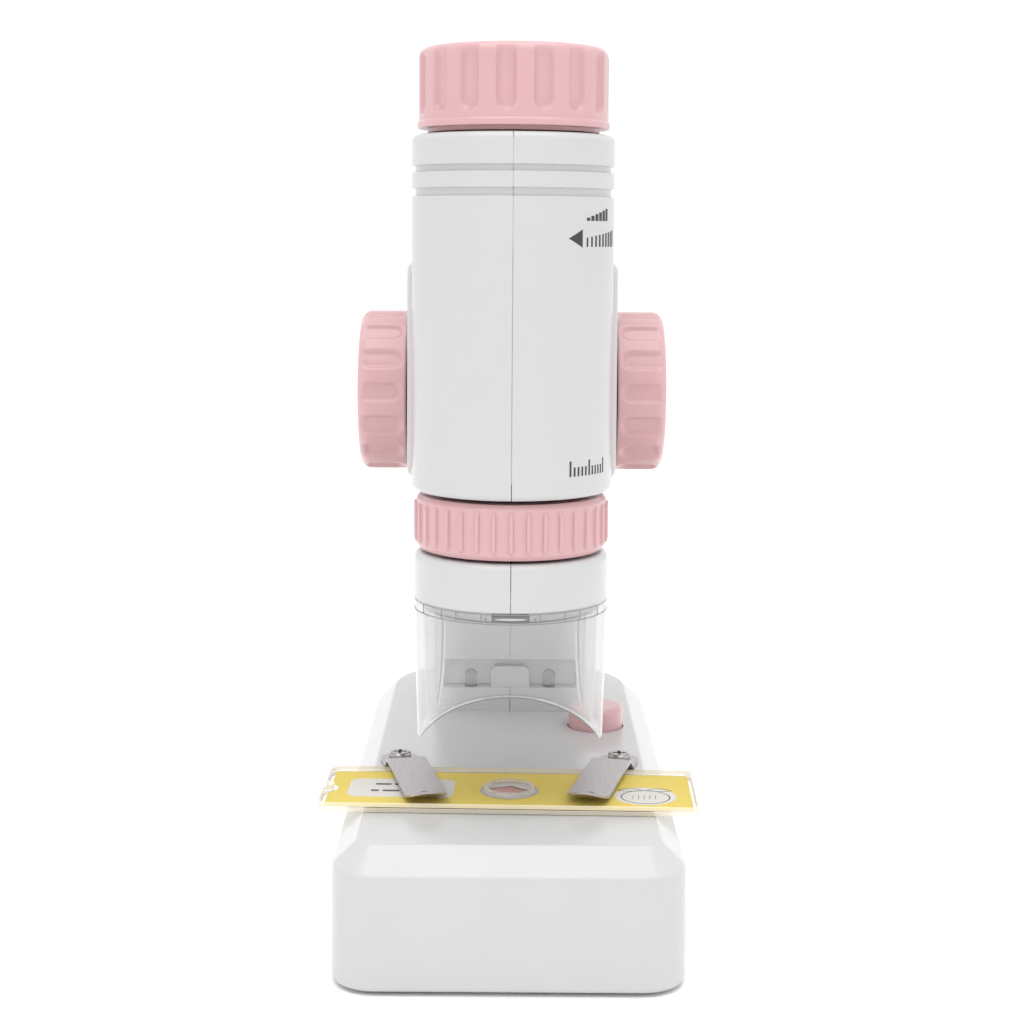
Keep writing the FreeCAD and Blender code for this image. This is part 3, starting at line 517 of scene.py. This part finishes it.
def seam_lip():
    """Lip of one barrel half that shows inside the joint line, above the open foot of the joint."""
    foot, top = BARREL_Z[0] / MM, BARREL_Z[1] / MM
    reach = BARREL_R / MM - 0.05
    lower = reach - 0.1
    sunk = reach - 0.72                          # behind the two grooves
    line = [(lower, foot + 3.4), (lower, top - 24.0), (reach, top - 20.0), (reach, top - 12.35),
            (sunk, top - 12.15), (sunk, top - 10.55), (reach, top - 10.35), (reach, top - 7.65),
            (sunk, top - 7.45), (sunk, top - 6.15), (reach, top - 5.95), (reach, top - 1.4),
            (reach - 1.35, top - 0.2)]
    section = ((-0.06, 0), (0.06, 0), (0.06, 0.5), (-0.06, 0.5))
    verts = [on_axis(x, -(r - d), z) for r, z in line for x, d in section]
    piece("seam_lip", verts, bar_faces(len(line), 4), WHITE, "viewer")


def arm_seam_lip():
    """Lip inside the joint line along the back of the arm, which keeps light from passing through."""
    obj = NODES["arm_right_half"]
    spots = [obj.matrix_world @ v.co for v in obj.data.vertices]
    spots = sorted({(round(p.z, 5), round(p.y, 5)) for p in spots if abs(p.x) < 0.4 * MM})
    back = max(p[1] for p in spots)
    chain = []
    for z, y in spots:
        while len(chain) >= 2:
            (z0, y0), (z1, y1) = chain[-2:]
            if (z1 - z0) * (y - y0) - (y1 - y0) * (z - z0) < 0:
                break
            chain.pop()
        chain.append((z, y))
    foot = high("base_top_shell").z + 0.5 * MM
    path = [(foot, back)] + [p for p in chain if p[0] > foot + MM and p[1] > AXIS.y + 40 * MM]
    verts = []
    for i, (z, y) in enumerate(path):
        z0, y0 = path[max(0, i - 1)]
        z1, y1 = path[min(len(path) - 1, i + 1)]
        inward = Vector((0, -(z1 - z0), y1 - y0)).normalized()
        for x, deep in ((-0.05, 0.35), (0.05, 0.35), (0.05, 1.9), (-0.05, 1.9)):
            verts.append(Vector((x * MM, y, z)) + inward * deep * MM)
    piece("arm_seam_lip", verts, bar_faces(len(path), 4), WHITE, "stand")


def nose_rim():
    """Rings, ticks and snap slot at the top of the clear nose; the slot's hollow is painted shade."""
    top = low("collar_left_half").z / MM
    radius = 19.5
    lines, ticks = [], []
    for bearing in range(-84, 96, 12):
        place = wrap(radius, bearing)
        for z, tall in ((top - 0.35, 0.10), (top - 2.25, 0.09)):
            lines.append((grid((-2.02, 2.02), (z - tall, z + tall), 6, 1), place))
    for bearing in (-62, -44, -33, -17, 17, 33, 44, 62):
        ticks.append((grid((-0.10, 0.10), (top - 2.2, top - 0.4), 1, 3), wrap(radius, bearing)))
    for bearing in (-14.2, 14.2):
        ticks.append((fan(oval(0, top - 1.3, 0.28, 0.28, 14), 2), wrap(radius, bearing)))
    for label, group, lift in (("nose_rim_lines", lines, 0.02), ("nose_rim_ticks", ticks, 0.03)):
        verts, faces = [], []
        for patch, place in group:
            v, f = raised([patch], place, -0.05, lift)
            faces += [tuple(i + len(verts) for i in c) for c in f]
            verts += v
        piece(label, verts, faces, MARK, "viewer")
    # The slot is a dark plate sunk inside the clear wall: painted shade for the slot's hollow.
    slot = grid((-3.75, 3.75), (top - 1.85, top - 0.75), 12, 2)
    verts, faces = raised([slot], wrap(radius, 0), -0.9, -0.55)
    piece("nose_snap_slot_painted_shade", verts, faces, MARK, "viewer")
    verts, faces = raised([fan(oval(0, top - 1.3, 3.2, 0.24, 36), 3)], wrap(radius, 0), -0.5, -0.35)
    piece("nose_snap_tongue", verts, faces, WHITE, "viewer")


def nose_lip():
    """Cut face of the nose's arch, a pale, mostly opaque band of painted highlight, with its two edges drawn
    by thin dark beads of painted shade.
    """
    foot, top = low("clear_nose").z / MM, low("collar_left_half").z / MM
    rise, half_width, wall, steps = 11.6, 18.0, 1.86, 72
    arch = (half_width ** 2 + rise ** 2) / (2 * rise)        # radius of the arch

    def height(x):
        return foot + rise - arch + math.sqrt(max(0.0, arch ** 2 - x ** 2))

    def on_edge(a, inset):
        r = 18.8 + 0.7 * (height(18.9 * math.sin(a)) - foot) / (top - foot) - inset
        return r * math.sin(a), -r * math.cos(a), height(r * math.sin(a))

    reach = math.asin(half_width / 18.85)
    bearings = [-reach + 2 * reach * i / steps for i in range(steps + 1)]
    verts = []
    for a in bearings:
        for inset, lift in ((0.04, 0.10), (wall, 0.10), (wall, -0.02), (0.04, -0.02)):
            x, y, z = on_edge(a, inset)
            verts.append(on_axis(x, y, z + lift))
    piece("nose_lip", verts, bar_faces(len(bearings), 4), LIP_PAINTED_HIGHLIGHT, "viewer")
    verts, faces, bead = [], [], 0.14
    for inset in (0.0, wall):
        faces += bar_faces(len(bearings), 6, len(verts))
        for a in bearings:
            x, y, z = on_edge(a, inset)
            verts += [on_axis(x, y + bead * math.cos(t), z + 0.05 + bead * math.sin(t)) for t in even(6)]
    piece("nose_lip_painted_edge_shade", verts, faces, PAINTED_EDGE_SHADE, "viewer")


def nose_wall_painted_lines():
    """Upright lines inside the clear wall, a pale one of painted highlight beside a dark one of painted shade
    on each side, standing in for the light bent by the thick wall.
    """
    foot, top = low("clear_nose").z / MM + 7.2, low("collar_left_half").z / MM - 2.6
    steps = 30
    for label, bearing, half_width, mat in (("pale", 50.0, 0.30, LIP_PAINTED_HIGHLIGHT), ("dark", 52.6, 0.09, PAINTED_EDGE_SHADE)):
        verts, faces = [], []
        for side in (-1, 1):
            faces += bar_faces(steps + 1, 4, len(verts))
            for i in range(steps + 1):
                t = i / steps
                a = math.radians(side * (bearing + 7.0 * (1 - t) ** 3 - 3.0 * t))
                r = 17.0 + 0.55 * t
                for side_way, inset in ((-1, 0), (1, 0), (1, 0.14), (-1, 0.14)):
                    b = a + side_way * half_width / r
                    place = (r - inset) * math.sin(b), -(r - inset) * math.cos(b)
                    verts.append(on_axis(*place, foot + (top - foot) * t))
        piece("nose_wall_painted_line_" + label, verts, faces, mat, "viewer")


# ---- slide and clips, in millimetres ------------------------------------------------------------
SLIDE_TURN = math.radians(-1.6)
SLIDE_HALF = (37.75, 12.7)
NOTCH_R = 1.9                                    # finger notch in the slide's left end
CLIP_SCREW = (23.8, 25.0)
DIMPLE_REACH = 32.3                              # from the clip's screw


def on_slide(u, v, z):
    """Point on the slide, along it and across it, at a height in millimetres."""
    c, s = math.cos(SLIDE_TURN), math.sin(SLIDE_TURN)
    return on_axis(c * u - s * v, s * u + c * v, z)


def round_corners(u, v, radius):
    """Outline of a rectangle with rounded corners."""
    corners = (u[0], v[0]), (u[1], v[0]), (u[1], v[1]), (u[0], v[1])
    return softened([(*corner, radius) for corner in corners], 5)


def slide_sheet(name, node):
    """Clear sheet with softened edges, a finger notch in its left end and cut corners at its right."""
    z0, z1 = low(node).z / MM, high(node).z / MM
    w, d = SLIDE_HALF
    turns = [math.pi / 2 - math.pi * i / 12 for i in range(13)]
    notch = [(-w + NOTCH_R * math.cos(t), NOTCH_R * math.sin(t)) for t in turns]
    outline = softened([(-w, -d, 2.4), (w - 1.3, -d, 0.4), (w, -d + 1.3, 0.4), (w, d - 1.3, 0.4),
                        (w - 1.3, d, 0.4), (-w, d, 2.4)], 6) + notch
    n = len(outline)
    verts, faces = [], []
    soft = 0.12
    for inset, z in ((soft, z0), (0.0, z0 + soft), (0.0, z1 - soft), (soft, z1)):
        for i, (u, v) in enumerate(outline):
            along = Vector(outline[(i + 1) % n]) - Vector(outline[i - 1])
            inward = Vector((-along.y, along.x)).normalized() * inset
            verts.append(on_slide(u + inward.x, v + inward.y, z))
    for k in range(3):
        faces += [(k * n + i, k * n + (i + 1) % n, (k + 1) * n + (i + 1) % n, (k + 1) * n + i)
                  for i in range(n)]
    faces += [tuple(range(n - 1, -1, -1)), tuple(range(3 * n, 4 * n))]
    obj = piece(name, verts, faces, CLEAR_SHEET, "specimen", (node,), 20)
    # The side faces take the paler, more opaque edge material: painted light for the light the sheet's cut
    # edges carry.
    obj.data.materials.append(SHEET_EDGE_PAINTED_LIGHT)
    for face in obj.data.polygons:
        face.material_index = 0 if abs(face.normal.z) > 0.9 else 1


def clip_dimple(node, body, side, turn):
    """Pressed dimple that closes the hole near the clip's tip."""
    a = math.radians(turn)
    x = side * CLIP_SCREW[0] + DIMPLE_REACH * math.sin(a)
    y = CLIP_SCREW[1] - DIMPLE_REACH * math.cos(a)
    level = high("slide_cover_plate").z / MM + 0.2
    outline = softened([(0.0, level, 0), (0.6, level, 0.1), (0.86, level + 0.3, 0.05), (0.86, level + 0.1, 0),
                        (0.6, level - 0.1, 0), (0.0, level - 0.1, 0)], 3)

    def place(u, v, z):
        return on_axis(x + u, y + v, z)

    verts, faces = lathe(outline, even(32), place)
    piece(node + "_dimple", verts, faces, STEEL, body)


def slide_card():
    bed = low("slide_label").z / MM
    n = 144
    hole = oval(0, 0, 5.6, 5.6, n)
    border = []
    for hu, hv in hole:
        k = min(36.9 / max(abs(hu), 1e-6), 12.1 / max(abs(hv), 1e-6))
        u, v = hu * k, hv * k
        if u < 0:
            u = max(u, -36.7 if abs(v) > 2.6 else -SLIDE_HALF[0] + math.sqrt(2.8 ** 2 - v ** 2))
        border.append((u, v))
    cells = [(i, (i + 1) % n, n + (i + 1) % n, n + i) for i in range(n)]
    verts, faces = raised([(hole + border, cells)], on_slide, bed + 0.012, bed + 0.055)
    piece("slide_card", verts, faces, YELLOW, "specimen", ("slide_label",))
    patches = [fan(round_corners((-32.9, -11.3), (-5.4, 6.9), 2.2), 3), fan(oval(27.6, -2.6, 6.3, 5.9), 3)]
    verts, faces = raised(patches, on_slide, bed + 0.05, bed + 0.068)
    piece("slide_card_panels", verts, faces, PALE, "specimen")
    ink = []
    upper = (-27.6, -24.4), (-23.7, -21.9), (-21.2, -17.6)
    lower = (-28.2, -26.6), (-25.8, -22.4), (-21.6, -18.4)
    for v, spans in ((3.2, upper), (-1.2, lower)):
        for u0, u1 in spans:
            ink.append(grid((u0, u1), (v - 0.55, v + 0.55), 4, 1))
    ink.append(stroke(oval(27.6, -3.2, 4.9, 4.4, 48), 0.26, True))
    for sign in (-1, 1):
        for bulge in (1.5, -0.5):
            leaf = [(27.6 + sign * (0.3 + 0.52 * i), 1.2 + bulge * math.sin(math.pi * i / 10))
                    for i in range(11)]
            ink.append(stroke(leaf, 0.22))
    for k in range(5):
        ink.append(stroke([(25.2 + 1.1 * k, -2.0), (25.0 + 1.15 * k, -4.9 + 0.2 * abs(k - 2))], 0.12))
    verts, faces = raised(ink, on_slide, bed + 0.062, bed + 0.08)
    piece("slide_card_ink", verts, faces, INK, "specimen")


def specimen():
    bed = low("slide_specimen").z / MM
    verts, faces = raised([fan(oval(0, 0, 5.5, 5.5, 48), 3)], on_slide, bed + 0.012, bed + 0.05)
    piece("specimen_well", verts, faces, PALE, "specimen", ("slide_specimen",))
    rim = [(-4.2, 1.0), (-1.6, 1.9), (0.3, 3.0), (1.9, 1.5), (4.2, -0.2)]
    tissue = dense(rim + [(2.8, -1.7), (0, -2.1), (-3.0, -1.2)], 0.8)
    verts, faces = raised([fan(tissue, 3)], on_slide, bed + 0.045, bed + 0.068)
    piece("specimen_tissue", verts, faces, STAIN, "specimen")
    verts, faces = raised([stroke(rim, 0.6)], on_slide, bed + 0.06, bed + 0.08)
    piece("specimen_edge", verts, faces, DEEP_STAIN, "specimen")
    top = high("slide_cover_plate").z / MM
    outline = softened([(4.5, top - 0.5, 0), (5.2, top - 0.5, 0), (5.1, top + 0.08, 0.05),
                        (4.6, top + 0.08, 0.05)], 3)
    verts, faces = lathe(outline, even(96), on_axis)
    piece("specimen_ring", verts, faces, DOME, "specimen")
    outline = softened([(5.35, bed + 0.1, 0), (6.0, bed + 0.1, 0), (5.95, bed + 0.16, 0),
                        (5.4, bed + 0.16, 0)], 3)
    verts, faces = lathe(outline, even(96), on_axis)
    piece("specimen_ring_shade", verts, faces, DOME, "specimen")


zoom_cap()
fine_ring()
coarse_knob(1, "coarse_knob_right")
coarse_knob(-1, "coarse_knob_left")
viewer_marks()
seam_lip()
arm_seam_lip()
nose_rim()
nose_lip()
nose_wall_painted_lines()
slide_sheet("slide_base_sheet", "slide_base_plate")
slide_sheet("slide_cover_sheet", "slide_cover_plate")
clip_dimple("left_clip", "left_clip_arm", -1, 12.2)
clip_dimple("right_clip", "right_clip_arm", 1, -13.8)
slide_card()
specimen()


# ---- camera, floor and light ----------------------------------------------------------------
def camera():
    cam = bpy.data.cameras.new("camera")
    cam.sensor_width = 36.0
    cam.lens = 1872 / 1024 * 36
    cam.shift_y = -0.13
    cam.clip_start = 0.01
    obj = bpy.data.objects.new("camera", cam)
    obj.location = AXIS + Vector((-0.0002, -0.3744, 0.1427))
    obj.rotation_euler = (math.radians(90 - 4.54), math.radians(-0.37), 0)
    bpy.context.collection.objects.link(obj)
    bpy.context.scene.camera = obj


def studio():
    mat, tree, shader = new_material("floor_paper", (0.98, 0.98, 0.98), 0.95, Specular_IOR_Level=0.0)
    weave = texture(tree, "ShaderNodeTexNoise", 30.0, Detail=2.0)
    tint(tree, shader, weave.outputs["Fac"], (0.975, 0.975, 0.975), (0.99, 0.99, 0.99))
    bpy.ops.mesh.primitive_plane_add(size=12.0, location=(0, 0, 0))
    floor = bpy.context.object
    floor.name = "floor"
    paint(floor, mat)
    world = bpy.data.worlds.new("studio")
    world.use_nodes = True
    world.node_tree.nodes["Background"].inputs["Color"].default_value = (1, 1, 1, 1)
    world.node_tree.nodes["Background"].inputs["Strength"].default_value = 1.05
    bpy.context.scene.world = world
    for name, place, size, power in (
        ("key", (-0.5, -0.7, 1.0), 0.9, 1.0),
        ("fill", (0.8, -0.4, 0.8), 0.9, 0.5),
        ("top", (0.0, -0.25, 1.2), 1.2, 7.5),
    ):
        lamp = bpy.data.lights.new(name, "AREA")
        lamp.size = size
        lamp.energy = power
        obj = bpy.data.objects.new(name, lamp)
        obj.location = place
        obj.rotation_euler = (Vector((0, 0, 0.08)) - Vector(place)).to_track_quat("-Z", "Y").to_euler()
        bpy.context.collection.objects.link(obj)
    bpy.context.scene.view_settings.view_transform = "Standard"


camera()
studio()
